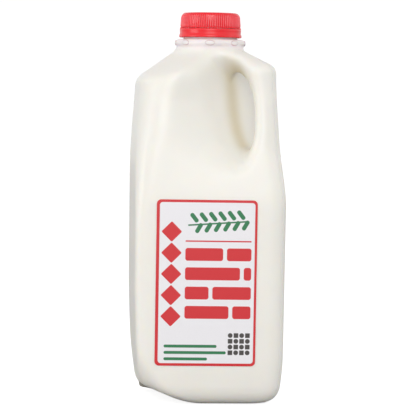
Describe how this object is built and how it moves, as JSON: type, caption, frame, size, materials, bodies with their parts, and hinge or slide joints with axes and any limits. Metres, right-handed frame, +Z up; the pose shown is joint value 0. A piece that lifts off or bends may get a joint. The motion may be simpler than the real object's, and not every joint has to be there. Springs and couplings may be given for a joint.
{
  "type": "plastic milk jug",
  "caption": "Filled plastic milk jug, square in section, with a handle through one corner, a ribbed screw cap over a tamper band and a printed paper label on the front.",
  "frame": {"origin": "on the neck's axis, at the flat face of the base that the jug stands on", "axes": "+Z up along the neck's axis; the label faces -Y; the handle stands at the corner between +X and -Y"},
  "size_m": [0.0979, 0.0988, 0.2532],
  "materials": {
    "milk_filled_polyethylene": "natural polyethylene, blow-moulded, cream white from the milk behind it, soft satin sheen",
    "red_cap_plastic": "moulded red plastic, satin",
    "printed_paper": "smooth coated paper printed in red and green"
  },
  "bodies": {
    "root": {"jug": "milk_filled_polyethylene", "cap": "red_cap_plastic", "tamper_band": "red_cap_plastic", "label": "printed_paper"}
  },
  "joints": []
}
